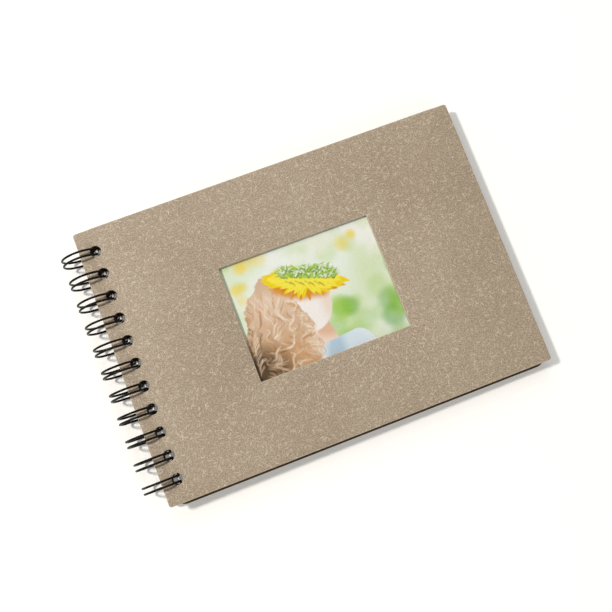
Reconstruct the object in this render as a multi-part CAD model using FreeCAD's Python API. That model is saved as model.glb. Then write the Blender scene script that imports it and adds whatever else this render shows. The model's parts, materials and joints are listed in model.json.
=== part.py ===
import FreeCAD, Part
import math
import os

# A landscape scrapbook album: two cloth-paper covers on board, a block of dark card
# sheets and a row of double wire loops down the spine.  The front cover has a framed
# window with a loose picture in a pocket behind it.
#
# Frame: millimetres, +X from spine to fore edge, +Y towards the head, +Z up.  The
# origin is under the middle of the whole album, loops included, and z = 0 is the
# lowest point of the wire loops.

# ---- covers ----
COVER_WIDTH = 216.0
COVER_HEIGHT = 152.0
COVER_CORNER = 1.5
EDGE_ROUNDING = 0.4
BOARD_THICK = 2.0
WRAP_THICK = 0.2
TURN_IN = 15.0
LINER_THICK = 0.2
LINER_INSET = 3.0

# ---- window and the picture behind it ----
WINDOW_WIDTH = 85.0
WINDOW_HEIGHT = 64.5
WINDOW_OFFSET_X = 0.8
WINDOW_TURN_IN = 12.0
PRINT_WIDTH = 101.6
PRINT_HEIGHT = 76.2
PRINT_THICK = 0.2
PRINT_PLAY = 0.1
PRINT_SIDE_PLAY = 1.0

# ---- sheets ----
SHEET_COUNT = 14
SHEET_THICK = 0.3
SHEET_AIR = 0.02
SHEET_OVERHANG = 1.2
SHEET_SPINE_INSET = 3.6
SHEET_FORE_INSET = 2.0
SHEET_CORNER = 6.0

# ---- punched holes ----
HOLE_COUNT = 11
HOLE_PITCH = 12.7
HOLE_PLAY = 1.7
HOLE_CENTRE_DEPTH = 1.0

# ---- wire loops ----
WIRE_DIAMETER = 1.2
LOOP_RADIUS = 9.8
PAIR_SPACING = 3.1
ROOT_BEND = 1.2
END_STUB = 1.6
TIP_ANGLE = 27.0
AXIS_INSET = -0.25
AXIS_BELOW_TOP = 5.0
BRIDGE_PLAY = 0.1

# ---- levels that follow from the sizes above ----
EPS = 0.5
LOOP_REACH = LOOP_RADIUS + WIRE_DIAMETER / 2 - AXIS_INSET
COVER_X = LOOP_REACH / 2
SPINE_X = COVER_X - COVER_WIDTH / 2
WINDOW_X = COVER_X + WINDOW_OFFSET_X
AXIS_X = SPINE_X + AXIS_INSET
AXIS_Z = LOOP_RADIUS + WIRE_DIAMETER / 2
SPACER_THICK = PRINT_THICK + PRINT_PLAY
CASE_THICK = BOARD_THICK + 2 * WRAP_THICK
FRONT_TOP = AXIS_Z + AXIS_BELOW_TOP
FRONT_CASE_Z = FRONT_TOP - CASE_THICK
FRONT_BOTTOM = FRONT_CASE_Z - SPACER_THICK - LINER_THICK
SEAM_GAP = WIRE_DIAMETER + 2 * BRIDGE_PLAY
BLOCK_TOP = FRONT_BOTTOM - SEAM_GAP
SHEET_PITCH = SHEET_THICK + SHEET_AIR
BACK_TOP = BLOCK_TOP - SHEET_COUNT * SHEET_PITCH
BACK_CASE_Z = BACK_TOP - LINER_THICK - CASE_THICK
BRIDGE_Z = BLOCK_TOP + SEAM_GAP / 2
HOLE_DIAMETER = PAIR_SPACING + WIRE_DIAMETER + HOLE_PLAY
HOLE_RISE = AXIS_BELOW_TOP - HOLE_CENTRE_DEPTH
HOLE_X = AXIS_X + math.sqrt(LOOP_RADIUS ** 2 - HOLE_RISE ** 2)
HOLE_YS = [(i - (HOLE_COUNT - 1) / 2) * HOLE_PITCH for i in range(HOLE_COUNT)]

V = FreeCAD.Vector


def slab(width, height, z, thick, cx=COVER_X, corner=0.0):
    """Flat block centred on x = cx and y = 0 with its underside at z."""
    block = Part.makeBox(width, height, thick, V(cx - width / 2, -height / 2, z))
    if corner > 0:
        uprights = []
        for edge in block.Edges:
            if abs(edge.tangentAt(edge.FirstParameter).z) > 0.99:
                uprights.append(edge)
        block = block.makeFillet(corner, uprights)
    return block


def soften(block, radius):
    """Round every level edge of a block."""
    rims = []
    for edge in block.Edges:
        if edge.BoundBox.ZLength < 1e-6:
            rims.append(edge)
    return block.makeFillet(radius, rims)


def punch(shape, z_low, z_high):
    """Cut the row of binding holes."""
    drills = []
    for y in HOLE_YS:
        start = V(HOLE_X, y, z_low - EPS)
        drills.append(Part.makeCylinder(HOLE_DIAMETER / 2, z_high - z_low + 2 * EPS, start))
    return shape.cut(Part.makeCompound(drills))


def window_cutter(z_low, z_high, margin=0.0):
    """Block the size of the window, grown by a margin on every side."""
    return slab(WINDOW_WIDTH + 2 * margin, WINDOW_HEIGHT + 2 * margin,
                z_low - EPS, z_high - z_low + 2 * EPS, cx=WINDOW_X)


def cover_board(case_z, has_window):
    """Grey board core of one cover."""
    z = case_z + WRAP_THICK
    board = slab(COVER_WIDTH - 2 * WRAP_THICK, COVER_HEIGHT - 2 * WRAP_THICK, z,
                 BOARD_THICK, corner=COVER_CORNER - WRAP_THICK)
    if has_window:
        board = board.cut(window_cutter(z, z + BOARD_THICK, margin=WRAP_THICK))
    return punch(board, z, z + BOARD_THICK)


def cover_wrap(case_z, has_window):
    """Covering paper: outer face, edges and the strips turned in on the inner face."""
    top_z = case_z + CASE_THICK
    wrap = soften(slab(COVER_WIDTH, COVER_HEIGHT, case_z, CASE_THICK,
                       corner=COVER_CORNER), EDGE_ROUNDING)
    inner_z = case_z if has_window else top_z - WRAP_THICK
    bare = slab(COVER_WIDTH - 2 * TURN_IN, COVER_HEIGHT - 2 * TURN_IN,
                inner_z - (EPS if has_window else 0.0), WRAP_THICK + EPS)
    if has_window:
        bare = bare.cut(window_cutter(inner_z - 1, inner_z + 1, margin=WINDOW_TURN_IN))
        wrap = wrap.cut(window_cutter(case_z, top_z))
    wrap = wrap.cut(bare)
    core = slab(COVER_WIDTH - 2 * WRAP_THICK, COVER_HEIGHT - 2 * WRAP_THICK,
                case_z + WRAP_THICK, BOARD_THICK, corner=COVER_CORNER - WRAP_THICK)
    if has_window:
        core = core.cut(window_cutter(case_z, top_z, margin=WRAP_THICK))
    return punch(wrap.cut(core), case_z, top_z)


def lining(z, thick):
    """Plain lining leaf pasted inside a cover."""
    leaf = slab(COVER_WIDTH - 2 * LINER_INSET, COVER_HEIGHT - 2 * LINER_INSET, z, thick)
    return punch(leaf, z, z + thick)


def pocket_spacer():
    """Packing leaf that makes the picture pocket; its channel opens at the tail."""
    z = FRONT_CASE_Z - SPACER_THICK
    leaf = lining(z, SPACER_THICK)
    tail_y = -COVER_HEIGHT / 2
    head_y = PRINT_HEIGHT / 2 + PRINT_SIDE_PLAY
    channel = Part.makeBox(PRINT_WIDTH + 2 * PRINT_SIDE_PLAY, head_y - tail_y,
                           SPACER_THICK + 2 * EPS,
                           V(WINDOW_X - PRINT_WIDTH / 2 - PRINT_SIDE_PLAY,
                             tail_y, z - EPS))
    return leaf.cut(channel)


def sheet(index):
    """One card sheet; index 0 lies uppermost."""
    z = BLOCK_TOP - (index + 1) * SHEET_PITCH + SHEET_AIR
    width = COVER_WIDTH - SHEET_SPINE_INSET - SHEET_FORE_INSET
    leaf = slab(width, COVER_HEIGHT + 2 * SHEET_OVERHANG, z, SHEET_THICK,
                cx=COVER_X + (SHEET_SPINE_INSET - SHEET_FORE_INSET) / 2, corner=SHEET_CORNER)
    return punch(leaf, z, z + SHEET_THICK)


def wire_disc(centre, normal):
    """Cross-section of the wire."""
    circle = Part.makeCircle(WIRE_DIAMETER / 2, centre, normal)
    return Part.Face(Part.Wire([circle]))


def on_ring(angle, y):
    """Point of the loop's centre line."""
    return V(AXIS_X + LOOP_RADIUS * math.cos(angle), y,
             AXIS_Z + LOOP_RADIUS * math.sin(angle))


def wire_loop(y, low_run, high_run):
    """One double loop; the runs are the lengths of wire either side of its roots."""
    reach = math.hypot(LOOP_RADIUS, ROOT_BEND)
    root = math.asin((BRIDGE_Z - AXIS_Z) / reach) - math.atan2(ROOT_BEND, LOOP_RADIUS)
    tip = math.radians(TIP_ANGLE)
    sweep = 360.0 - math.degrees(tip - root)
    outward = V(math.cos(root), 0, math.sin(root))
    along = V(-math.sin(root), 0, math.cos(root))
    pieces = []
    for side, run in ((-1, low_run), (1, high_run)):
        arc_y = y + side * PAIR_SPACING / 2
        start = on_ring(root, arc_y)
        section = wire_disc(start, along)
        pieces.append(section.revolve(V(AXIS_X, arc_y, AXIS_Z), V(0, 1, 0), sweep))
        bend_centre = start + V(0, side * ROOT_BEND, 0)
        pieces.append(section.revolve(bend_centre, outward * (-side), 90))
        line_start = bend_centre + along * ROOT_BEND
        pieces.append(Part.makeCylinder(WIRE_DIAMETER / 2, run, line_start, V(0, side, 0)))
    tip_normal = V(math.sin(tip), 0, -math.cos(tip))
    tip_section = wire_disc(on_ring(tip, y - PAIR_SPACING / 2), tip_normal)
    pieces.append(tip_section.revolve(on_ring(tip, y), V(math.cos(tip), 0, math.sin(tip)), 180))
    return pieces[0].multiFuse(pieces[1:]).removeSplitter()


def wire_binding():
    """Row of loops joined root to root by straight bridges."""
    half_bridge = HOLE_PITCH / 2 - PAIR_SPACING / 2 - ROOT_BEND
    loops = []
    for i, y in enumerate(HOLE_YS):
        low_run = END_STUB if i == 0 else half_bridge
        high_run = END_STUB if i == HOLE_COUNT - 1 else half_bridge
        loops.append(wire_loop(y, low_run, high_run))
    return Part.makeCompound(loops)


def build():
    """Every piece of the album by node name."""
    nodes = {
        "front_board": cover_board(FRONT_CASE_Z, True),
        "front_wrap": cover_wrap(FRONT_CASE_Z, True),
        "pocket_spacer": pocket_spacer(),
        "front_liner": lining(FRONT_BOTTOM, LINER_THICK),
        "photo_print": slab(PRINT_WIDTH, PRINT_HEIGHT,
                            FRONT_BOTTOM + LINER_THICK + PRINT_PLAY / 2, PRINT_THICK,
                            cx=WINDOW_X),
        "back_board": cover_board(BACK_CASE_Z, False),
        "back_wrap": cover_wrap(BACK_CASE_Z, False),
        "back_liner": lining(BACK_TOP - LINER_THICK, LINER_THICK),
        "wire_binding": wire_binding(),
    }
    for index in range(SHEET_COUNT):
        nodes["sheet_%02d" % (index + 1)] = sheet(index)
    return nodes


os.makedirs("parts", exist_ok=True)
for name, shape in build().items():
    shape.exportStep("parts/" + name + ".step")
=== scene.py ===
"""Looks of a wire-bound scrapbook album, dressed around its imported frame."""

import json
import logging
import math
from dataclasses import dataclass, field
from enum import Enum
from typing import Any, Optional, Sequence

import bmesh
import bpy
import numpy as np
from mathutils import Matrix, Vector

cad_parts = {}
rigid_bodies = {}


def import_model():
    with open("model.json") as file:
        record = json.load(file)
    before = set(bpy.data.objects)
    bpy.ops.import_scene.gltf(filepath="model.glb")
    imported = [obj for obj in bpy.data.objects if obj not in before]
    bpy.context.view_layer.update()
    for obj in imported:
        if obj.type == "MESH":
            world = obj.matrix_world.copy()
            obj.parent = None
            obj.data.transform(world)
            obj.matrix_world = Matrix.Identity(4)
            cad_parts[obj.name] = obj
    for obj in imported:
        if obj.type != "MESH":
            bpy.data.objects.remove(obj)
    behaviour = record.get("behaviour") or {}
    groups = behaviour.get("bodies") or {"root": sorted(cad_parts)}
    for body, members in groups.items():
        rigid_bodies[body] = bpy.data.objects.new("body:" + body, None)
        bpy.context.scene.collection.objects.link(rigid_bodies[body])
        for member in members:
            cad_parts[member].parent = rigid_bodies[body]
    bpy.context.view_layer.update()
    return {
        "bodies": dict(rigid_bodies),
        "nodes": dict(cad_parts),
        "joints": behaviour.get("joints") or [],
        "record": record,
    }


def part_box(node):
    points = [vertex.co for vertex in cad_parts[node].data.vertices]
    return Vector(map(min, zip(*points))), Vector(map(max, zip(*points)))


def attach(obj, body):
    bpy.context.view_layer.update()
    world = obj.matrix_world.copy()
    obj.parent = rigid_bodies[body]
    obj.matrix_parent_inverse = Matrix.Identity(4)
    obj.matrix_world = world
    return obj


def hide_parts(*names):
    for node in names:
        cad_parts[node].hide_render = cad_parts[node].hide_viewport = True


LOG = logging.getLogger("album")
MM = 0.001
LOOP_OUTER = 10.4 * MM  # from the loops' common axis to the outside of the wire

Colour = tuple[float, float, float, float]
Outline = list[tuple[float, float, float, float]]


# ---------------------------------------------------------------- small helpers


def linear(code: str) -> Colour:
    """Turn an sRGB hex colour into linear RGBA.

    Args:
        code: Six hex digits with a leading hash.

    Returns:
        Linear red, green, blue and an alpha of one.
    """
    parts = [int(code[i:i + 2], 16) / 255 for i in (1, 3, 5)]
    out = [c / 12.92 if c <= 0.04045 else ((c + 0.055) / 1.055) ** 2.4 for c in parts]
    return (out[0], out[1], out[2], 1.0)


def add(tree: bpy.types.NodeTree, kind: str, inputs: Optional[dict[Any, Any]] = None,
        stops: Sequence[tuple[float, Colour]] = (), **settings: Any) -> bpy.types.Node:
    """Add one node with its settings, values and links.

    Args:
        tree: Node tree that receives the node.
        kind: Blender's type name of the node.
        inputs: Socket name or number to a value, or to the output socket that feeds it.
        stops: Position and linear colour of each stop of a colour ramp, in rising order.
        **settings: Attributes to set before the sockets are filled.

    Returns:
        The new node.
    """
    made = tree.nodes.new(kind)
    for key, value in settings.items():
        setattr(made, key, value)
    for key, value in (inputs or {}).items():
        socket = made.inputs[key]
        if isinstance(value, bpy.types.NodeSocket):
            tree.links.new(value, socket)
        else:
            socket.default_value = value
    if stops:
        band = made.color_ramp.elements
        while len(band) < len(stops):
            band.new(0.5)
        for element, (place, colour) in zip(band, stops):
            element.position = place
            element.color = colour
    return made


def mesh_object(name: str, verts: Sequence[Sequence[float]], faces: Sequence[Sequence[int]],
                edges: Sequence[Sequence[int]] = ()) -> bpy.types.Object:
    """Make a linked mesh object at the origin.

    Args:
        name: Name of the object and of its mesh.
        verts: Points in metres, in the album's frame.
        faces: Point numbers of each face.
        edges: Point numbers of loose edges.

    Returns:
        The new object.
    """
    mesh = bpy.data.meshes.new(name)
    mesh.from_pydata([tuple(v) for v in verts], list(edges), [tuple(f) for f in faces])
    mesh.update()
    made = bpy.data.objects.new(name, mesh)
    bpy.context.scene.collection.objects.link(made)
    return made


def smooth_by_angle(mesh: bpy.types.Mesh, degrees: float) -> None:
    """Shade a mesh smooth except over edges sharper than an angle.

    Args:
        mesh: Mesh to shade.
        degrees: Largest angle between faces that still looks smooth.
    """
    work = bmesh.new()
    work.from_mesh(mesh)
    limit = math.radians(degrees)
    for face in work.faces:
        face.smooth = True
    for edge in work.edges:
        if len(edge.link_faces) == 2:
            edge.smooth = edge.calc_face_angle(0.0) < limit
    work.to_mesh(mesh)
    work.free()


# ---------------------------------------------------------------- finishes


@dataclass(frozen=True)
class Finish:
    """A surface finish: common to all are a name and the sockets of its shader."""

    name: str
    roughness: float = 0.6
    specular: float = 0.5

    def start(self) -> tuple[bpy.types.Material, bpy.types.NodeTree, bpy.types.Node]:
        """Begin a node material with a Principled shader.

        Returns:
            The material, its node tree and its shader node.
        """
        made = bpy.data.materials.new(self.name)
        made.use_nodes = True
        tree = made.node_tree
        tree.nodes.clear()
        shader = add(tree, "ShaderNodeBsdfPrincipled",
                     {"Roughness": self.roughness, "Specular IOR Level": self.specular})
        add(tree, "ShaderNodeOutputMaterial", {"Surface": shader.outputs["BSDF"]})
        return made, tree, shader

    @staticmethod
    def millimetres(tree: bpy.types.NodeTree) -> bpy.types.NodeSocket:
        """Object coordinates in millimetres.

        Args:
            tree: Node tree of the material.

        Returns:
            Socket that gives the place on the album.
        """
        where = add(tree, "ShaderNodeTexCoord")
        scale = add(tree, "ShaderNodeVectorMath", {0: where.outputs["Object"], "Scale": 1 / MM},
                    operation="SCALE")
        return scale.outputs["Vector"]


@dataclass(frozen=True)
class PearlPaper(Finish):
    """Pearl-coated fibre paper: taupe, softly mottled, with pale slivers of fibre."""

    # Real: pulp paper with long fibres left in it, calendered under a thin pearl coating.
    # To the eye: a satin, slightly sparkling face, with fibres lying every way in the sheet.
    # The real fibres are under 0.1 mm wide; they are drawn 0.32 mm wide, as fine as shows.

    name: str = "pearl_fibre_paper"
    roughness: float = 0.52
    specular: float = 0.4
    shade: str = "#8a7965"
    body: str = "#9f8f7b"
    light: str = "#b8a995"
    fibre: str = "#cfc1ad"
    worn: str = "#c4b8a5"
    fibre_length: float = 2.7
    fibre_width: float = 0.32
    share: float = 0.62
    spread_along: float = 1.7
    spread_across: float = 2.7
    layer_depth: float = 1.5
    layer_shift: float = 7.3
    rarity: float = 2.2
    bow: float = 2.2
    lay: tuple[float, ...] = (14.0, 47.0, 78.0, 109.0, 141.0, 168.0)

    def slivers(self, tree: bpy.types.NodeTree, place: bpy.types.NodeSocket,
                turn: float, shift: float) -> bpy.types.NodeSocket:
        """Mask of one layer of fibres that lie about one direction.

        Args:
            tree: Node tree of the material.
            place: Coordinates in millimetres.
            turn: Direction of the layer, in degrees.
            shift: Offset that keeps the layers apart, in millimetres.

        Returns:
            Socket that is one on a fibre and zero between.
        """
        cell = self.fibre_length * self.spread_along
        across = self.fibre_width * self.spread_across
        turned = add(tree, "ShaderNodeMapping",
                     {"Vector": place, "Location": (shift, shift * 0.7, 0.0),
                      "Rotation": (0.0, 0.0, math.radians(turn))})
        squeezed = add(tree, "ShaderNodeMapping",
                       {"Vector": turned.outputs["Vector"],
                        "Scale": (1 / cell, 1 / across, 1 / self.layer_depth)})
        cells = add(tree, "ShaderNodeTexVoronoi",
                    {"Vector": squeezed.outputs["Vector"], "Scale": 1.0, "Randomness": 1.0})
        near = add(tree, "ShaderNodeMapRange",
                   {"Value": cells.outputs["Distance"], "From Min": 0.31, "From Max": 0.16,
                    "To Min": 0.0, "To Max": 1.0})
        pick = add(tree, "ShaderNodeSeparateColor", {"Color": cells.outputs["Color"]})
        chosen = add(tree, "ShaderNodeMath", {0: pick.outputs["Red"], 1: 1.0 - self.share},
                     operation="GREATER_THAN")
        bright = add(tree, "ShaderNodeMath", {0: pick.outputs["Green"], 1: self.rarity},
                     operation="POWER")
        weight = add(tree, "ShaderNodeMath",
                     {0: chosen.outputs["Value"], 1: bright.outputs["Value"]}, operation="MULTIPLY")
        both = add(tree, "ShaderNodeMath",
                   {0: near.outputs["Result"], 1: weight.outputs["Value"]}, operation="MULTIPLY")
        return both.outputs["Value"]

    def build(self) -> bpy.types.Material:
        """Make the material.

        Returns:
            The finished material.
        """
        made, tree, shader = self.start()
        place = self.millimetres(tree)
        drift = add(tree, "ShaderNodeTexNoise", {"Vector": place, "Scale": 0.12, "Detail": 1.0})
        centred = add(tree, "ShaderNodeVectorMath",
                      {0: drift.outputs["Color"], 1: (0.5, 0.5, 0.5)}, operation="SUBTRACT")
        pushed = add(tree, "ShaderNodeVectorMath",
                     {0: centred.outputs["Vector"], 1: (self.bow, self.bow, 0.0), 2: place},
                     operation="MULTIPLY_ADD")
        bent = pushed.outputs["Vector"]
        broad = add(tree, "ShaderNodeTexNoise",
                    {"Vector": place, "Scale": 0.022, "Detail": 2.0, "Roughness": 0.5})
        mottle = add(tree, "ShaderNodeTexNoise",
                     {"Vector": place, "Scale": 1.5, "Detail": 3.0, "Roughness": 0.7})
        mixed = add(tree, "ShaderNodeMix",
                    {"Factor": 0.1, "A": mottle.outputs["Fac"], "B": broad.outputs["Fac"]},
                    data_type="FLOAT")
        tone = add(tree, "ShaderNodeValToRGB", {"Fac": mixed.outputs["Result"]},
                   [(0.4, linear(self.shade)), (0.5, linear(self.body)), (0.6, linear(self.light))])
        colour = tone.outputs["Color"]
        height = mottle.outputs["Fac"]
        for number, turn in enumerate(self.lay):
            mask = self.slivers(tree, bent, turn, self.layer_shift * number)
            blend = add(tree, "ShaderNodeMix",
                        {"Factor": mask, "A": colour, "B": linear(self.fibre)},
                        data_type="RGBA")
            colour = blend.outputs["Result"]
            raised = add(tree, "ShaderNodeMath", {0: mask, 1: 0.5, 2: height},
                         operation="MULTIPLY_ADD")
            height = raised.outputs["Value"]
        rub = add(tree, "ShaderNodeAttribute", attribute_name="rub")
        edge = add(tree, "ShaderNodeMath", {0: rub.outputs["Fac"], 1: mottle.outputs["Fac"]},
                   operation="MULTIPLY")
        worn = add(tree, "ShaderNodeMix",
                   {"Factor": edge.outputs["Value"], "A": colour, "B": linear(self.worn)},
                   data_type="RGBA")
        relief = add(tree, "ShaderNodeBump",
                     {"Height": height, "Strength": 0.5, "Distance": 0.0001})
        tree.links.new(worn.outputs["Result"], shader.inputs["Base Color"])
        tree.links.new(relief.outputs["Normal"], shader.inputs["Normal"])
        shader.inputs["Sheen Weight"].default_value = 0.1
        shader.inputs["Sheen Roughness"].default_value = 0.35
        return made


@dataclass(frozen=True)
class FlatStock(Finish):
    """Uncoated board, card or lining paper: matt, with pulp mottling and fine grain."""

    # Real: pulp-dyed card, lining paper or grey board, pressed between plain rollers.
    # To the eye: dead matt and slightly cloudy.  Its grain is drawn coarser than real pulp.
    name: str = "brown_page_card"
    roughness: float = 0.82
    dark: str = "#503c22"
    pale: str = "#654e2f"
    grain: float = 1.4
    relief: float = 0.05 * MM

    def build(self) -> bpy.types.Material:
        """Make the material.

        Returns:
            The finished material.
        """
        made, tree, shader = self.start()
        place = self.millimetres(tree)
        pulp = add(tree, "ShaderNodeTexNoise",
                   {"Vector": place, "Scale": self.grain, "Detail": 5.0, "Roughness": 0.65})
        cloud = add(tree, "ShaderNodeTexNoise",
                    {"Vector": place, "Scale": 0.05, "Detail": 2.0})
        mixed = add(tree, "ShaderNodeMix",
                    {"Factor": 0.35, "A": pulp.outputs["Fac"], "B": cloud.outputs["Fac"]},
                    data_type="FLOAT")
        tone = add(tree, "ShaderNodeValToRGB", {"Fac": mixed.outputs["Result"]},
                   [(0.32, linear(self.dark)), (0.68, linear(self.pale))])
        bump = add(tree, "ShaderNodeBump",
                   {"Height": pulp.outputs["Fac"], "Strength": 0.4, "Distance": self.relief})
        tree.links.new(tone.outputs["Color"], shader.inputs["Base Color"])
        tree.links.new(bump.outputs["Normal"], shader.inputs["Normal"])
        return made


@dataclass(frozen=True)
class BakedEnamel(Finish):
    """Black-bronze baked enamel on drawn steel wire; worn tips with a painted near-white glint."""

    # Real: steel wire dipped in enamel and baked, so the coat is thin, hard and glassy.
    # To the eye: near black, with one sharp glint along the wire.  Where attribute bare_glint
    # says, the tips are worn through to the metal and painted with a near-white glint.
    # Its specks are drawn coarser than real.
    name: str = "baked_enamel"
    roughness: float = 0.3
    specular: float = 0.12
    coat: float = 0.04
    bare_metal: float = 0.4
    dark: str = "#080503"
    warm: str = "#150e07"
    # Near-white tip colour: a painted glint over the worn-through tips.
    steel: str = "#f4f1ea"

    def build(self) -> bpy.types.Material:
        """Make the material.

        Returns:
            The finished material.
        """
        made, tree, shader = self.start()
        place = self.millimetres(tree)
        cloud = add(tree, "ShaderNodeTexNoise",
                    {"Vector": place, "Scale": 0.45, "Detail": 3.0})
        speck = add(tree, "ShaderNodeTexNoise",
                    {"Vector": place, "Scale": 5.0, "Detail": 2.0})
        tone = add(tree, "ShaderNodeValToRGB", {"Fac": cloud.outputs["Fac"]},
                   [(0.35, linear(self.dark)), (0.7, linear(self.warm))])
        gloss = add(tree, "ShaderNodeMapRange",
                    {"Value": cloud.outputs["Fac"], "From Min": 0.3, "From Max": 0.7,
                     "To Min": self.roughness - 0.05, "To Max": self.roughness + 0.08})
        bump = add(tree, "ShaderNodeBump",
                   {"Height": speck.outputs["Fac"], "Strength": 0.15, "Distance": 0.00003})
        # Attribute bare_glint: worn tips, mixed towards the near-white painted glint and partly
        # metallic.
        bare_glint = add(tree, "ShaderNodeAttribute", attribute_name="bare_glint")
        worn = add(tree, "ShaderNodeMix",
                   {"Factor": bare_glint.outputs["Fac"], "A": tone.outputs["Color"], "B": linear(self.steel)},
                   data_type="RGBA")
        metal = add(tree, "ShaderNodeMath", {0: bare_glint.outputs["Fac"], 1: self.bare_metal},
                    operation="MULTIPLY")
        tree.links.new(worn.outputs["Result"], shader.inputs["Base Color"])
        tree.links.new(metal.outputs["Value"], shader.inputs["Metallic"])
        tree.links.new(gloss.outputs["Result"], shader.inputs["Roughness"])
        tree.links.new(bump.outputs["Normal"], shader.inputs["Normal"])
        shader.inputs["Coat Weight"].default_value = self.coat
        shader.inputs["Coat Roughness"].default_value = 0.12
        return made


@dataclass(frozen=True)
class PhotoGloss(Finish):
    """Resin-coated photo paper: smooth gloss over the printed dyes."""

    # Real: paper sealed in polyethylene, with the dyes in a thin gelatin layer on top.
    # To the eye: a smooth sheen with faint ripples; the picture is attribute "picture".
    name: str = "photo_gloss"
    roughness: float = 0.32
    specular: float = 0.45

    def build(self) -> bpy.types.Material:
        """Make the material.

        Returns:
            The finished material.
        """
        made, tree, shader = self.start()
        place = self.millimetres(tree)
        dyes = add(tree, "ShaderNodeAttribute", attribute_name="picture")
        ripple = add(tree, "ShaderNodeTexNoise", {"Vector": place, "Scale": 0.06, "Detail": 1.0})
        bump = add(tree, "ShaderNodeBump",
                   {"Height": ripple.outputs["Fac"], "Strength": 0.2, "Distance": 0.0002})
        tree.links.new(dyes.outputs["Color"], shader.inputs["Base Color"])
        tree.links.new(bump.outputs["Normal"], shader.inputs["Normal"])
        return made


@dataclass(frozen=True)
class StudioPaper(Finish):
    """Seamless background paper: plain, pale and matt."""

    # Real: a wide roll of matt paper under studio light.  To the eye: an even, pale ground,
    # so it gets a faint light of its own.
    name: str = "studio_paper"
    roughness: float = 0.9
    specular: float = 0.2
    colour: str = "#f6f6f4"
    glow: float = 0.16

    def build(self) -> bpy.types.Material:
        """Make the material.

        Returns:
            The finished material.
        """
        made, tree, shader = self.start()
        shader.inputs["Base Color"].default_value = linear(self.colour)
        shader.inputs["Emission Color"].default_value = linear(self.colour)
        shader.inputs["Emission Strength"].default_value = self.glow
        return made


# ---------------------------------------------------------------- the picture


class Dye(Enum):
    """Printing colours of the garden picture."""

    MIST = "#edf6ec"
    WHITE = "#fbfbf8"
    LEAF_PALE = "#cfe3a4"
    LEAF = "#95cb42"
    LEAF_DEEP = "#63ae3a"
    LIME = "#a6d23c"
    PETAL = "#f4d916"
    PETAL_LIGHT = "#fbee4a"
    PETAL_SHADE = "#e0961a"
    SEED = "#b5691c"
    SEPAL = "#a9cf62"
    SEPAL_LIGHT = "#e4f3cf"
    SEPAL_SHADE = "#5d7f35"
    HAIR = "#d8b89a"
    HAIR_LIGHT = "#f0dcc4"
    HAIR_GOLD = "#cd9c68"
    HAIR_DARK = "#79583a"
    HAIR_DEEP = "#4a3a26"
    HAIR_SHADE = "#a8835e"
    HAIR_GLINT = "#fdf1df"
    SKIN = "#f8f4f2"
    SKIN_WARM = "#f2dccb"
    SKIN_SHADE = "#dda377"
    SHIRT = "#dcebf6"
    SHIRT_LIGHT = "#eaf3f8"
    SHIRT_SHADE = "#b3cde0"

    @property
    def rgb(self) -> np.ndarray:
        """Linear red, green and blue."""
        return np.array(linear(self.value)[:3])


# Tones of the locks of hair, from the deepest to the brightest
LOCK_TONES = (Dye.HAIR_DARK, Dye.HAIR_SHADE, Dye.HAIR_GOLD, Dye.HAIR, Dye.HAIR_LIGHT, Dye.HAIR_GLINT)


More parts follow.
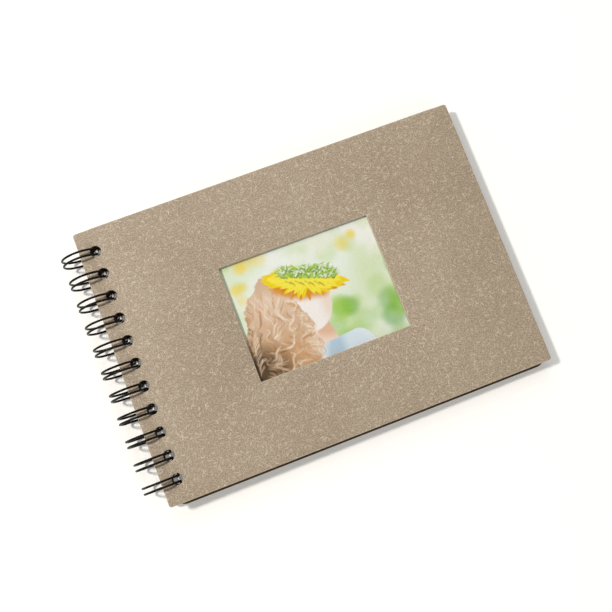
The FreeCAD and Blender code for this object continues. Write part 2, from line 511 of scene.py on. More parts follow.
@dataclass
class GardenPicture:
    """A generic garden snapshot painted by formula.

    A child with curly hair, seen from behind, wears a sunflower as a hat.  Places are
    millimetres right of and below the window's upper left corner.
    """

    x: np.ndarray
    y: np.ndarray
    seed: int = 11
    white: float = 0.86
    rgb: np.ndarray = field(init=False)

    def __post_init__(self) -> None:
        """Start from an empty misty ground."""
        self.rgb = np.empty((self.x.size, 3))
        self.rgb[:] = Dye.MIST.rgb

    def lay(self, mask: np.ndarray, dye: Dye, strength: float = 1.0) -> None:
        """Lay a dye over the picture where a mask says.

        Args:
            mask: How much of the dye each point takes, zero to one.
            dye: Its colour.
            strength: How strongly the whole mask covers.
        """
        weight = (np.clip(mask, 0, 1) * strength)[:, None]
        self.rgb = self.rgb * (1 - weight) + dye.rgb * weight

    def grain(self, cell: float, seed: int, turn: float = 0.0, stretch: float = 1.0) -> np.ndarray:
        """Smooth random field between zero and one.

        Args:
            cell: Size of its patches in millimetres.
            seed: Number that picks the field.
            turn: Direction of the patches' long side, in degrees.
            stretch: Length of a patch over its width.

        Returns:
            One value for each point of the picture.
        """
        a = math.radians(turn)
        u = (self.x * math.cos(a) + self.y * math.sin(a)) / (cell * stretch) + 400.0
        v = (-self.x * math.sin(a) + self.y * math.cos(a)) / cell + 400.0
        table = np.random.RandomState(seed).rand(64, 64)
        i = np.floor(u).astype(int)
        j = np.floor(v).astype(int)
        fu = u - i
        fv = v - j
        fu = fu * fu * (3 - 2 * fu)
        fv = fv * fv * (3 - 2 * fv)
        low = table[i % 64, j % 64] * (1 - fu) + table[(i + 1) % 64, j % 64] * fu
        high = table[i % 64, (j + 1) % 64] * (1 - fu) + table[(i + 1) % 64, (j + 1) % 64] * fu
        return low * (1 - fv) + high * fv

    def blob(self, cx: float, cy: float, rx: float, ry: float, turn: float = 0.0,
             soft: float = 0.3, point: float = 0.0) -> np.ndarray:
        """Soft-edged ellipse, or a petal when it has a point.

        Args:
            cx: Centre, right.
            cy: Centre, down.
            rx: Half length.
            ry: Half width.
            turn: Clockwise turn of the long side, in degrees.
            soft: Share of the radius over which the edge fades.
            point: How much the far end narrows, zero to one.

        Returns:
            Mask between zero and one.
        """
        a = math.radians(turn)
        u = ((self.x - cx) * math.cos(a) + (self.y - cy) * math.sin(a)) / rx
        v = (-(self.x - cx) * math.sin(a) + (self.y - cy) * math.cos(a)) / ry
        if point:
            v = v / np.clip(1 - point * np.clip(u, -1, 1), 0.15, 2)
        r = np.sqrt(u * u + v * v)
        t = np.clip((1 + soft / 2 - r) / max(soft, 1e-3), 0, 1)
        return t * t * (3 - 2 * t)

    def limb(self, points: Sequence[tuple[float, float, float]], soft: float = 0.8) -> np.ndarray:
        """Tapering rounded limb along a line of points.

        Args:
            points: Right, down and radius of each point.
            soft: Width of the fading edge in millimetres.

        Returns:
            Mask between zero and one.
        """
        best = np.full(self.x.shape, -99.0)
        for (ax, ay, ar), (bx, by, br) in zip(points[:-1], points[1:]):
            dx = bx - ax
            dy = by - ay
            t = np.clip(((self.x - ax) * dx + (self.y - ay) * dy) / (dx * dx + dy * dy), 0, 1)
            gap = np.hypot(self.x - ax - t * dx, self.y - ay - t * dy)
            best = np.maximum(best, ar + t * (br - ar) - gap)
        t = np.clip(best / soft + 0.5, 0, 1)
        return t * t * (3 - 2 * t)

    def stroke(self, points: Sequence[tuple[float, float, float]], dye: Dye,
               strength: float, soft: float = 0.35) -> None:
        """Draw one thin lock of hair or similar, near its own line only.

        Args:
            points: Right, down and half width of each point.
            dye: Its colour.
            strength: How strongly it covers.
            soft: Width of its fading edge in millimetres.
        """
        px = [p[0] for p in points]
        py = [p[1] for p in points]
        edge = max(p[2] for p in points) + soft
        near = np.flatnonzero((self.x > min(px) - edge) & (self.x < max(px) + edge)
                              & (self.y > min(py) - edge) & (self.y < max(py) + edge))
        if not near.size:
            return
        part = GardenPicture(self.x[near], self.y[near])
        mask = part.limb(points, soft) * strength
        self.rgb[near] = self.rgb[near] * (1 - mask[:, None]) + dye.rgb * mask[:, None]

    def ground(self) -> None:
        """Out-of-focus garden: light overhead, leaf greens lower down, a few far blossoms."""
        dice = np.random.RandomState(self.seed)
        high = (Dye.WHITE, Dye.MIST, Dye.LEAF_PALE, Dye.WHITE)
        low = (Dye.LEAF, Dye.LEAF_PALE, Dye.LIME, Dye.LEAF_DEEP)
        self.lay(self.grain(15, 3) * 1.5 - 0.3, Dye.LEAF_PALE, 0.6)
        for _ in range(120):
            cx, cy = dice.uniform(-6, 92), dice.uniform(-6, 72)
            size = dice.uniform(3.0, 8.0)
            tones = low if cy > dice.uniform(14, 46) else high
            self.lay(self.blob(cx, cy, size, size, soft=0.9), tones[dice.randint(4)],
                     dice.uniform(0.25, 0.65))
        for _ in range(8):
            cx, cy = dice.uniform(4, 84), dice.uniform(0, 22)
            size = dice.uniform(2.0, 4.5)
            self.lay(self.blob(cx, cy, size, size, soft=1.3), Dye.PETAL, dice.uniform(0.4, 0.8))

    def body(self) -> None:
        """Head, neck and a plain shirt in strong light."""
        neck = self.limb([(37, 42, 7.0), (41, 62, 7.5)], soft=0.8)
        self.lay(neck, Dye.SKIN_WARM)
        self.lay(neck * self.blob(43, 49, 9, 5, 20, soft=1.2), Dye.SKIN_SHADE, 0.6)
        head = self.blob(37, 33, 14.0, 16.5, soft=0.06)
        self.lay(head, Dye.SKIN)
        self.lay(head * self.blob(50, 36, 5, 14, soft=1.2), Dye.SKIN_WARM, 0.8)
        shirt = self.limb([(42, 66, 9.0), (57, 63, 7.5), (64, 76, 7.0)], soft=0.5)
        self.lay(shirt, Dye.SHIRT)
        fold = self.grain(3.2, 21, turn=68, stretch=3.0)
        self.lay(shirt * (fold * 1.6 - 0.6), Dye.SHIRT_LIGHT, 0.9)
        self.lay(shirt * self.blob(44, 62, 5, 9, 15, soft=1.2), Dye.SHIRT_SHADE, 0.9)
        self.lay(shirt * self.limb([(56, 70, 0.5), (59, 78, 0.8)], soft=2.5), Dye.SHIRT_SHADE, 0.8)

    def hair(self) -> None:
        """Loose blond waves down the back of the head, darker towards the nape."""
        wide = self.limb([(22.5, 21, 9.0), (18, 32, 14.0), (18.5, 47, 18.5), (16, 66, 19.0)], soft=5.0)
        ragged = np.clip((wide - 0.12 - 0.75 * self.grain(2.6, 41) * self.grain(1.1, 43)) * 4, 0, 1)
        self.lay(ragged, Dye.HAIR)
        self.lay(ragged * self.blob(20, 28, 12, 8, soft=1.2), Dye.SKIN_WARM, 0.6)
        self.lay(ragged * self.blob(18, 60, 20, 13, soft=1.2), Dye.HAIR_GOLD, 0.75)
        self.lay(ragged * self.blob(5, 60, 14, 12, 30, soft=1.2), Dye.HAIR_DEEP, 0.95)
        before = self.rgb.copy()
        dice = np.random.RandomState(self.seed + 4)
        for _ in range(1100):
            self.lock(dice)
        inside = np.clip(ragged * 1.3, 0, 1)[:, None]
        self.rgb = before * (1 - inside) + self.rgb * inside
        for number in range(44):
            y = dice.uniform(27, 62)
            x = min(35.0, 29.5 + 0.36 * (y - 30)) + dice.uniform(-1.5, 0.5)
            reach = dice.uniform(1.0, 3.8)
            self.stroke([(x - 2.0, y - 3.0, 0.3), (x + reach * 0.8, y - 1.2, 0.42),
                         (x + reach, y + 1.4, 0.34), (x + reach * 0.2, y + 3.2, 0.1)],
                        LOCK_TONES[2 + number % 4], 0.55, 0.7)
        for _ in range(40):
            y = dice.uniform(20, 60)
            x = 21 - 3.4 * (y - 22) / 10 if y < 34 else 5.2 - 0.12 * (y - 34)
            reach = dice.uniform(0.3, 1.6)
            self.stroke([(x + 2.4, y - 1.6, 0.14), (x - reach * 0.4, y + 1.0, 0.1),
                         (x - reach, y + 3.4, 0.04)], Dye.HAIR_LIGHT, 0.6)

    def lock(self, dice: np.random.RandomState) -> None:
        """Draw one wavy lock, straighter at the crown and curlier lower down.

        Args:
            dice: Seeded source of its place, width, length and tone.
        """
        x, y = dice.uniform(0, 39), dice.uniform(17, 66)
        low = min(1.0, max(0.0, (y - 18) / 34))
        bulk = math.sin(0.85 * x + 0.55 * math.sin(0.5 * y) + 0.25 * y)
        bulk += 0.6 * math.sin(1.9 * x - 0.6 * y + 1.0)
        phase = dice.uniform(-0.5, 0.5)
        width = dice.uniform(0.16, 0.46)
        length = int(dice.uniform(6, 12))
        points = []
        for k in range(length):
            bend = 2.2 * math.sin(0.27 * x + 0.11 * y) + 1.5 * math.sin(0.43 * x - 0.35 * y)
            swing = math.sin(0.62 * y + 0.38 * x + bend + phase)
            lean = math.radians(108 - 30 * (1 - low) + (22 + 60 * low) * swing)
            points.append((x, y, max(0.05, width * math.sin(math.pi * (k + 0.6) / length))))
            x += 0.8 * math.cos(lean)
            y += 0.8 * math.sin(lean)
        deep = 1.6 * low * max(0.0, 1.0 - (points[0][0] + 0.2 * points[0][1]) / 30)
        value = 3.3 + bulk * (0.6 + 1.3 * low) - 3.1 * deep + dice.normal(0, 0.5)
        tone = LOCK_TONES[int(min(5, max(0, round(value))))]
        self.stroke(points, tone, dice.uniform(0.25, 0.6), 0.45)

    def hat(self) -> None:
        """Sunflower worn as a hat, tipped forward, petals drooping round the head."""
        tilt = 20
        ca, sa = math.cos(math.radians(tilt)), math.sin(math.radians(tilt))

        def spot(along: float, down: float) -> tuple[float, float]:
            """Place in the picture of a point on the tipped flower."""
            return 41.0 + along * ca - down * sa, 20.8 + along * sa + down * ca

        self.lay(self.limb([(*spot(-14, 5.5), 3.2), (*spot(-2, 7.4), 4.0), (*spot(10, 6.4), 2.8)],
                           soft=4.5), Dye.PETAL_SHADE, 0.9)
        self.lay(self.limb([(*spot(-11, 5.4), 1.4), (*spot(6, 5.8), 1.4)], soft=3.0), Dye.SEED, 0.7)
        dice = np.random.RandomState(self.seed + 9)
        petals = 27
        for ring, dye in enumerate((Dye.PETAL_SHADE, Dye.PETAL, Dye.PETAL_LIGHT)):
            for k in range(petals):
                a = 2 * math.pi * (k + 0.5 * ring) / petals + dice.uniform(-0.12, 0.12)
                reach = (14.0, 17.5, 13.0)[ring] + dice.uniform(-2.0, 1.6)
                drop = (1.6, 0.6, 0.0)[ring] + dice.uniform(-0.6, 0.6)
                cx, cy = spot(reach * math.cos(a), drop + 3.3 * math.sin(a))
                turn = tilt + math.degrees(math.atan2(0.24 * math.sin(a) + 0.05, math.cos(a)))
                turn += dice.uniform(-10, 10)
                self.lay(self.blob(cx, cy, 7.0 - ring * 0.6, 1.8, turn, soft=0.25, point=0.5), dye)
                self.lay(self.blob(cx, cy, 4.4, 0.22, turn, soft=0.9), Dye.PETAL_SHADE, 0.3)
        cx, cy = spot(2.0, -3.8)
        self.lay(self.blob(cx, cy, 15.5, 3.4, tilt, soft=0.5), Dye.SEPAL, 0.95)
        for k in range(90):
            along = dice.uniform(-13, 16)
            down = dice.uniform(-6.4, -1.0)
            x, y = spot(along, down)
            side = 1 if dice.uniform(0, 1) < 0.5 + along / 40 else -1
            far = dice.uniform(1.6, 4.4)
            end = (x + side * far, y - dice.uniform(0.2, 2.4), 0.05)
            mid = ((x + end[0]) / 2 - side * 0.3, (y + end[1]) / 2 - 0.7, 0.42)
            self.stroke([(x, y + 0.5, 0.75), (mid[0], mid[1] + 0.35, 0.6), end], Dye.SEPAL_SHADE, 0.6)
            dye = (Dye.SEPAL_LIGHT, Dye.SEPAL_LIGHT, Dye.SEPAL, Dye.LIME)[k % 4]
            self.stroke([(x, y, 0.5), mid, end], dye, 0.95, 0.25)
        for k in range(8):
            x, y = spot(-10 + 2.6 * k, 1.2 + 0.8 * (k % 2))
            self.stroke([(x, y, 0.45), (x + 1.3, y + 1.3, 0.35), (x + 2.0, y + 2.8, 0.1)],
                        Dye.SEED if k % 2 else Dye.SEPAL, 0.7)

    def paint(self) -> np.ndarray:
        """Paint the whole picture.

        Returns:
            Linear colour of each point.
        """
        self.ground()
        self.body()
        self.hair()
        self.hat()
        self.rgb *= (0.97 + 0.06 * self.grain(0.5, 77))[:, None]
        return np.clip(self.rgb, 0, 1) * self.white


# ---------------------------------------------------------------- the album's parts


@dataclass
class Punching:
    """The row of binding holes along the spine."""

    count: int = 11
    pitch: float = 12.7 * MM
    diameter: float = 6.0 * MM
    inset: float = 8.7 * MM

    def rows(self) -> list[float]:
        """Places of the hole centres along the spine."""
        return [(i - (self.count - 1) / 2) * self.pitch for i in range(self.count)]


@dataclass
class CoverCase:
    """One cover: board wrapped in paper, with soft folded edges and punched holes."""

    name: str
    low: Vector
    high: Vector
    punching: Punching
    window: Optional[tuple[float, float, float, float]] = None
    corner: float = 1.5 * MM
    fold: float = 0.45 * MM
    window_corner: float = 0.35 * MM
    punch_rim: float = 0.22 * MM
    steps: int = 5
    corner_steps: int = 8
    hole_sides: int = 40
    smooth_under: float = 32.0

    def rounded(self, x0: float, y0: float, x1: float, y1: float, radius: float,
                inward: bool) -> Outline:
        """Rounded rectangle with a normal at each point.

        Args:
            x0: Left side.
            y0: Tail side.
            x1: Right side.
            y1: Head side.
            radius: Corner radius.
            inward: True when the material lies inside the outline.

        Returns:
            Place and material-side normal of each point, anticlockwise.
        """
        out: Outline = []
        sign = -1.0 if inward else 1.0
        corners = ((x1 - radius, y0 + radius, -90), (x1 - radius, y1 - radius, 0),
                   (x0 + radius, y1 - radius, 90), (x0 + radius, y0 + radius, 180))
        for cx, cy, start in corners:
            for k in range(self.corner_steps + 1):
                a = math.radians(start + 90 * k / self.corner_steps)
                out.append((cx + radius * math.cos(a), cy + radius * math.sin(a),
                            sign * math.cos(a), sign * math.sin(a)))
        return out

    def circle(self, cx: float, cy: float) -> Outline:
        """One punched hole, its material outside.

        Args:
            cx: Centre, towards the fore edge.
            cy: Centre, towards the head.

        Returns:
            Place and material-side normal of each point.
        """
        out: Outline = []
        radius = self.punching.diameter / 2
        for k in range(self.hole_sides):
            a = 2 * math.pi * k / self.hole_sides
            out.append((cx + radius * math.cos(a), cy + radius * math.sin(a),
                        math.cos(a), math.sin(a)))
        return out

    def profile(self, rim: float) -> list[tuple[float, float]]:
        """Section of an edge from the upper face to the lower one.

        Args:
            rim: Radius of its two rounded edges.

        Returns:
            Inset and height of each ring of points.
        """
        top: list[tuple[float, float]] = []
        for k in range(self.steps + 1):
            a = math.pi / 2 * k / self.steps
            top.append((rim * (1 - math.sin(a)), self.high.z - rim * (1 - math.cos(a))))
        bottom = [(inset, self.low.z + self.high.z - z) for inset, z in reversed(top)]
        return top + bottom

    def build(self, paper: bpy.types.Material, board: bpy.types.Material) -> bpy.types.Object:
        """Make the case and dress it.

        Args:
            paper: Finish of the covering paper.
            board: Finish of the raw board inside the holes.

        Returns:
            The finished object.
        """
        work = bmesh.new()
        rub = work.verts.layers.float.new("rub")
        plans = [(self.rounded(self.low.x, self.low.y, self.high.x, self.high.y, self.corner, True),
                  self.fold, False)]
        if self.window:
            plans.append((self.rounded(*self.window, self.window_corner, False), self.fold, False))
        for y in self.punching.rows():
            plans.append((self.circle(self.low.x + self.punching.inset, y), self.punch_rim, True))
        edges_top: list[bmesh.types.BMEdge] = []
        edges_bottom: list[bmesh.types.BMEdge] = []
        for outline, rim, raw in plans:
            rings = []
            levels = self.profile(rim)
            for number, (inset, z) in enumerate(levels):
                ring = []
                for x, y, nx, ny in outline:
                    vert = work.verts.new((x + nx * inset, y + ny * inset, z))
                    vert[rub] = 0.0 if number in (0, len(levels) - 1) else 1.0
                    ring.append(vert)
                rings.append(ring)
            n = len(outline)
            for row in range(len(rings) - 1):
                for k in range(n):
                    face = work.faces.new((rings[row][k], rings[row][(k + 1) % n],
                                           rings[row + 1][(k + 1) % n], rings[row + 1][k]))
                    wall = row == self.steps
                    face.material_index = 1 if raw and wall else 0
                    face.smooth = True
            for ring, store in ((rings[0], edges_top), (rings[-1], edges_bottom)):
                for k in range(n):
                    store.append(work.edges.get((ring[k], ring[(k + 1) % n])))
        for store in (edges_top, edges_bottom):
            bmesh.ops.triangle_fill(work, use_beauty=True, use_dissolve=False, edges=store)
        bmesh.ops.recalc_face_normals(work, faces=work.faces)
        mesh = bpy.data.meshes.new(self.name)
        work.to_mesh(mesh)
        work.free()
        smooth_by_angle(mesh, self.smooth_under)
        made = bpy.data.objects.new(self.name, mesh)
        bpy.context.scene.collection.objects.link(made)
        mesh.materials.append(paper)
        mesh.materials.append(board)
        return made


@dataclass
class LoopRow:
    """One length of wire bent into double loops, swept along its centre line."""

    punching: Punching
    axis_x: float
    axis_z: float
    seam_z: float
    radius: float = 9.8 * MM
    wire: float = 1.2 * MM
    pair: float = 3.1 * MM
    bend: float = 1.2 * MM
    stub: float = 1.6 * MM
    tip: float = 27.0
    sides: int = 16
    bend_steps: int = 7
    ring_steps: int = 84
    tip_steps: int = 14
    # Points either side of a tip's middle that show wear and the painted glint.
    bare_glint_reach: float = 4.0
    seed: int = 5

    def loop(self, y: float, low_run: float, high_run: float, tip_deg: float) -> list[Vector]:
        """Centre line of one double loop, from its low root to its high one.

        Args:
            y: Middle of the loop along the spine.
            low_run: Straight wire before the low root.
            high_run: Straight wire after the high root.
            tip_deg: Ring angle where the closed end begins.

        Returns:
            Points in order along the wire.
        """
        reach = math.hypot(self.radius, self.bend)
        root = math.asin((self.seam_z - self.axis_z) / reach) - math.atan2(self.bend, self.radius)
        tip = math.radians(tip_deg)
        sweep = 2 * math.pi - (tip - root)
        along = Vector((-math.sin(root), 0, math.cos(root)))
        half = self.pair / 2

        def ring(angle: float, place: float) -> Vector:
            """Point on the ring."""
            return Vector((self.axis_x + self.radius * math.cos(angle), place,
                           self.axis_z + self.radius * math.sin(angle)))

        def side(sign: float, run: float) -> list[Vector]:
            """One of the two wires, from its straight run to the tip.

            Args:
                sign: Minus one for the wire nearer the tail, one for the other.
                run: Length of its straight run.

            Returns:
                Points of its straight run, bend and ring, in order.
            """
            place = y + sign * half
            foot = ring(root, place) + Vector((0, sign * self.bend, 0))
            out = [foot + along * self.bend + Vector((0, sign * run, 0))]
            for k in range(self.bend_steps + 1):
                a = math.pi / 2 * (1 - k / self.bend_steps)
                out.append(foot + along * (self.bend * math.sin(a))
                           - Vector((0, sign * self.bend * math.cos(a), 0)))
            for k in range(1, self.ring_steps + 1):
                out.append(ring(root - sweep * k / self.ring_steps, place))
            return out

        nose = Vector((math.sin(tip), 0, -math.cos(tip)))
        centre = ring(tip, y)
        tip_arc = []
        for k in range(1, self.tip_steps):
            a = math.pi * k / self.tip_steps
            tip_arc.append(centre + Vector((0, -half * math.cos(a), 0)) + nose * (half * math.sin(a)))
        return side(-1, low_run) + tip_arc + list(reversed(side(1, high_run)))

    def path(self) -> bpy.types.Object:
        """Make the whole centre line, with wear and a painted glint at each closed end.

        Returns:
            A chain of edges whose attribute "bare_glint" is one where a tip is worn and carries the
            painted glint.
        """
        dice = np.random.RandomState(self.seed)
        rows = self.punching.rows()
        half_bridge = self.punching.pitch / 2 - self.pair / 2 - self.bend
        points: list[Vector] = []
        worn: list[float] = []
        for i, y in enumerate(rows):
            low = self.stub if i == 0 else half_bridge
            high = self.stub if i == len(rows) - 1 else half_bridge
            made = self.loop(y, low, high, self.tip + dice.uniform(-1.0, 1.0))
            middle = len(made) // 2
            # Share of wear and painted glint, highest at the middle of each closed end.
            bare_glint_share = [max(0.0, 1.0 - (abs(k - middle) / self.bare_glint_reach) ** 4)
                      for k in range(len(made))]
            if points:
                made, bare_glint_share = made[1:], bare_glint_share[1:]
            points += made
            worn += bare_glint_share
        edges = [(k, k + 1) for k in range(len(points) - 1)]
        made = mesh_object("wire_path", points, [], edges)
        bare_glint = made.data.attributes.new("bare_glint", "FLOAT", "POINT")
        bare_glint.data.foreach_set("value", worn)
        return made

    def tree(self, enamel: bpy.types.Material) -> bpy.types.NodeTree:
        """Geometry nodes that sweep a round wire along a chain of edges.

        Args:
            enamel: Finish of the wire.

        Returns:
            The node group.
        """
        group = bpy.data.node_groups.new("sweep_wire", "GeometryNodeTree")
        face = group.interface
        face.new_socket("Geometry", in_out="INPUT", socket_type="NodeSocketGeometry")
        face.new_socket("Wire Diameter", in_out="INPUT", socket_type="NodeSocketFloat")
        face.new_socket("Sides", in_out="INPUT", socket_type="NodeSocketInt")
        face.new_socket("Geometry", in_out="OUTPUT", socket_type="NodeSocketGeometry")
        source = add(group, "NodeGroupInput")
        half = add(group, "ShaderNodeMath", {0: source.outputs["Wire Diameter"], 1: 0.5},
                   operation="MULTIPLY")
        line = add(group, "GeometryNodeMeshToCurve", {"Mesh": source.outputs["Geometry"]})
        section = add(group, "GeometryNodeCurvePrimitiveCircle",
                      {"Resolution": source.outputs["Sides"], "Radius": half.outputs["Value"]})
        swept = add(group, "GeometryNodeCurveToMesh",
                    {"Curve": line.outputs["Curve"], "Profile Curve": section.outputs["Curve"],
                     "Fill Caps": True})
        soft = add(group, "GeometryNodeSetShadeSmooth", {"Geometry": swept.outputs["Mesh"]})
        real = add(group, "GeometryNodeRealizeInstances", {"Geometry": soft.outputs["Geometry"]})
        dressed = add(group, "GeometryNodeSetMaterial",
                      {"Geometry": real.outputs["Geometry"], "Material": enamel})
        add(group, "NodeGroupOutput", {"Geometry": dressed.outputs["Geometry"]})
        return group

    def build(self, enamel: bpy.types.Material) -> bpy.types.Object:
        """Sweep the wire and make it a plain mesh.

        Args:
            enamel: Finish of the wire.

        Returns:
            The finished object.
        """
        path = self.path()
        modifier = path.modifiers.new("sweep", "NODES")
        modifier.node_group = self.tree(enamel)
        for item in modifier.node_group.interface.items_tree:
            if item.name == "Wire Diameter":
                modifier[item.identifier] = self.wire
            if item.name == "Sides":
                modifier[item.identifier] = self.sides
        graph = bpy.context.evaluated_depsgraph_get()
        mesh = bpy.data.meshes.new_from_object(path.evaluated_get(graph))
        mesh.name = "wire_loops"
        work = bmesh.new()
        work.from_mesh(mesh)
        bmesh.ops.recalc_face_normals(work, faces=work.faces)
        work.to_mesh(mesh)
        work.free()
        made = bpy.data.objects.new("wire_loops", mesh)
        bpy.context.scene.collection.objects.link(made)
        bpy.data.objects.remove(path)
        return made


@dataclass
class LoosePrint:
    """The picture card in the pocket behind the window."""

    low: Vector
    high: Vector
    window: tuple[float, float, float, float]
    step: float = 0.33 * MM

    def build(self, gloss: bpy.types.Material) -> bpy.types.Object:
        """Make the print as a fine closed grid and print its picture.

        Args:
            gloss: Finish that reads the printed colours.

        Returns:
            The finished object.
        """
        nx = int(round((self.high.x - self.low.x) / self.step))
        ny = int(round((self.high.y - self.low.y) / self.step))
        xs = np.linspace(self.low.x, self.high.x, nx + 1)
        ys = np.linspace(self.low.y, self.high.y, ny + 1)
        gx, gy = np.meshgrid(xs, ys)
        top = np.column_stack([gx.ravel(), gy.ravel(), np.full(gx.size, self.high.z)])
        rim = ([(i, 0) for i in range(nx)] + [(nx, j) for j in range(ny)]
               + [(i, ny) for i in range(nx, 0, -1)] + [(0, j) for j in range(ny, 0, -1)])
        rim_ids = [j * (nx + 1) + i for i, j in rim]
        under = top[rim_ids].copy()
        under[:, 2] = self.low.z
        verts = np.vstack([top, under])
        base = len(top)
        i, j = np.meshgrid(np.arange(nx), np.arange(ny))
        a = (j * (nx + 1) + i).ravel()
        faces = np.column_stack([a, a + 1, a + nx + 2, a + nx + 1]).tolist()
        n = len(rim_ids)
        for k in range(n):
            faces.append([rim_ids[(k + 1) % n], rim_ids[k], base + k, base + (k + 1) % n])
        faces.append([base + k for k in reversed(range(n))])
        made = mesh_object("garden_print", verts.tolist(), faces)
        wx0, _, _, wy1 = self.window
        picture = GardenPicture((verts[:, 0] - wx0) / MM, (wy1 - verts[:, 1]) / MM)
        colours = np.ones((len(verts), 4))
        colours[:, :3] = picture.paint()
        colours[base:, :3] = Dye.WHITE.rgb
        layer = made.data.color_attributes.new("picture", "FLOAT_COLOR", "POINT")
        layer.data.foreach_set("color", colours.ravel())
        made.data.materials.append(gloss)
        return made


@dataclass
class Album:
    """The whole album: reads its places from the frame, builds and dresses each part."""

    frame: dict[str, Any]
    punching: Punching = field(default_factory=Punching)
    window_size: tuple[float, float] = (85.0 * MM, 64.5 * MM)

    def window(self) -> tuple[float, float, float, float]:
        """Sides of the window, centred on the print behind it.

        Returns:
            Spine, tail, fore edge and head side.
        """
        low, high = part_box("photo_print")
        cx = (low[0] + high[0]) / 2
        cy = (low[1] + high[1]) / 2
        w, h = self.window_size
        return (cx - w / 2, cy - h / 2, cx + w / 2, cy + h / 2)

    def dress(self, node: str, finish: bpy.types.Material) -> None:
        """Give a CAD node a finish.

        Args:
            node: Name of the node.
            finish: Its new material.
        """
        item = self.frame["nodes"][node]
        item.data.materials.clear()
        item.data.materials.append(finish)
        LOG.info("dressed %s with %s", node, finish.name)

    def build(self) -> None:
        """Build every part in order and report it."""
        paper = PearlPaper().build()
        board = FlatStock(name="grey_binders_board", dark="#57514a", pale="#7d766b",
                          roughness=0.85, grain=1.6).build()
        lining = FlatStock(name="brown_lining_paper", dark="#35291b", pale="#46382a",
                           roughness=0.8, grain=1.2).build()
        card = FlatStock().build()
        enamel = BakedEnamel().build()
        gloss = PhotoGloss().build()
        window = self.window()
        for name, body, opening in (("front_case", "front_cover", window),
                                    ("back_case", "back_cover", None)):
            side = name.split("_")[0]
            low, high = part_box(side + "_wrap")
            case = CoverCase(name, Vector(low), Vector(high), self.punching, opening)
            piece = case.build(paper, board)
            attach(piece, body)
            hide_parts(side + "_wrap", side + "_board")
            LOG.info("built %s with %d faces", name, len(piece.data.polygons))
        low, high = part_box("wire_binding")
        front_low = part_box("front_liner")[0]
        block_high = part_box("sheet_01")[1]
        row = LoopRow(self.punching, axis_x=low[0] + LOOP_OUTER, axis_z=LOOP_OUTER,
                      seam_z=(front_low[2] + block_high[2]) / 2)
        wire = row.build(enamel)
        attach(wire, "binding")
        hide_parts("wire_binding")
        LOG.info("built wire loops with %d faces", len(wire.data.polygons))
        low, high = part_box("photo_print")
        card_print = LoosePrint(Vector(low), Vector(high), window).build(gloss)
        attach(card_print, "photo")
        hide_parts("photo_print")
        LOG.info("built the print with %d faces", len(card_print.data.polygons))
        self.dress("pocket_spacer", board)
        self.dress("front_liner", lining)
        self.dress("back_liner", lining)
        for name in self.frame["nodes"]:
            if name.startswith("sheet_"):
                self.dress(name, card)


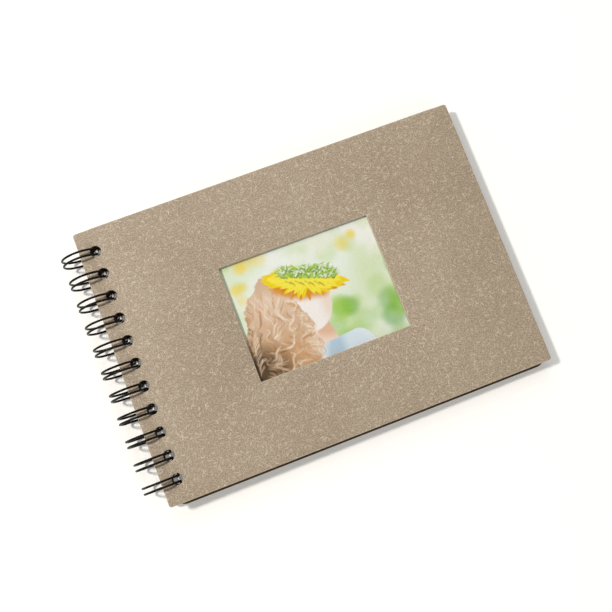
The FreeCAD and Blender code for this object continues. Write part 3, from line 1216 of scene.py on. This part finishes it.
@dataclass
class Studio:
    """Plain pale floor, soft lights and the camera."""

    reach: float = 3.0
    floor_gap: float = 0.05 * MM
    pale: str = "#f6f6f4"
    lens: float = 54.02
    sensor: float = 36.0

    def floor(self) -> None:
        """Floor that touches the loops and the back cover's far edge."""
        loops_low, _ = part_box("wire_binding")
        back_low, back_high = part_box("back_wrap")
        axis_x = loops_low[0] + LOOP_OUTER
        rise = (back_low[2] - loops_low[2]) / (back_high[0] - axis_x)
        verts = []
        for sx, sy in ((-1, -1), (1, -1), (1, 1), (-1, 1)):
            x = sx * self.reach
            verts.append((x, sy * self.reach, (x - axis_x) * rise - self.floor_gap))
        made = mesh_object("studio_floor", verts, [(0, 1, 2, 3)])
        made.data.materials.append(StudioPaper().build())
        LOG.info("laid the floor")

    def light(self, name: str, place: Sequence[float], size: float, power: float,
              colour: str) -> None:
        """Add one softbox that faces the middle of the album.

        Args:
            name: Name of the light.
            place: Where it hangs, in metres.
            size: Side of its square face in metres.
            power: Power in watts.
            colour: Colour of its light.
        """
        lamp = bpy.data.lights.new(name, "AREA")
        lamp.shape = "SQUARE"
        lamp.size = size
        lamp.energy = power
        lamp.color = linear(colour)[:3]
        made = bpy.data.objects.new(name, lamp)
        made.location = place
        made.rotation_euler = (-Vector(place)).to_track_quat("-Z", "Y").to_euler()
        bpy.context.scene.collection.objects.link(made)

    def lights(self) -> None:
        """Key from the head and spine side, two low fills and a room paler at the horizon."""
        self.light("key", (-1.05, 0.52, 1.65), 0.20, 29.5, "#fffaf3")
        self.light("tail_side", (0.15, -0.72, 0.52), 0.8, 1.7, "#fffefb")
        self.light("head_side", (0.0, 0.62, 0.75), 0.6, 2.2, "#fffdf8")
        world = bpy.data.worlds.new("room")
        world.use_nodes = True
        world.node_tree.nodes.clear()
        facing = add(world.node_tree, "ShaderNodeTexCoord")
        height = add(world.node_tree, "ShaderNodeSeparateXYZ",
                     {"Vector": facing.outputs["Generated"]})
        level = add(world.node_tree, "ShaderNodeMapRange",
                    {"Value": height.outputs["Z"], "From Min": 0.12, "From Max": 0.6,
                     "To Min": 0.9, "To Max": 0.14})
        sky = add(world.node_tree, "ShaderNodeBackground",
                  {"Color": linear(self.pale), "Strength": level.outputs["Result"]})
        add(world.node_tree, "ShaderNodeOutputWorld", {"Surface": sky.outputs["Background"]})
        bpy.context.scene.world = world

    def camera(self) -> None:
        """Camera above the tail edge near the spine, looking almost straight down."""
        low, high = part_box("front_wrap")
        origin = Vector((low[0], low[1], high[2]))
        place = origin + Vector((50.14, 14.62, 481.9)) * MM
        right = Vector((0.93182, -0.35821, 0.05822))
        back = -Vector((0.10767, 0.11969, -0.98696)).normalized()
        up = back.cross(right).normalized()
        right = up.cross(back).normalized()
        lens = bpy.data.cameras.new("camera")
        lens.lens = self.lens
        lens.sensor_width = self.sensor
        lens.clip_start = 0.01
        made = bpy.data.objects.new("camera", lens)
        turn = Matrix((right, up, back)).transposed()
        made.matrix_world = Matrix.Translation(place) @ turn.to_4x4()
        bpy.context.scene.collection.objects.link(made)
        bpy.context.scene.camera = made
        bpy.context.scene.view_settings.view_transform = "Standard"


def main() -> None:
    """Build the album in its studio."""
    logging.basicConfig(level=logging.INFO, format="%(name)s: %(message)s")
    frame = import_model()
    studio = Studio()
    studio.camera()
    Album(frame).build()
    studio.floor()
    studio.lights()


if __name__ == "__main__":
    main()
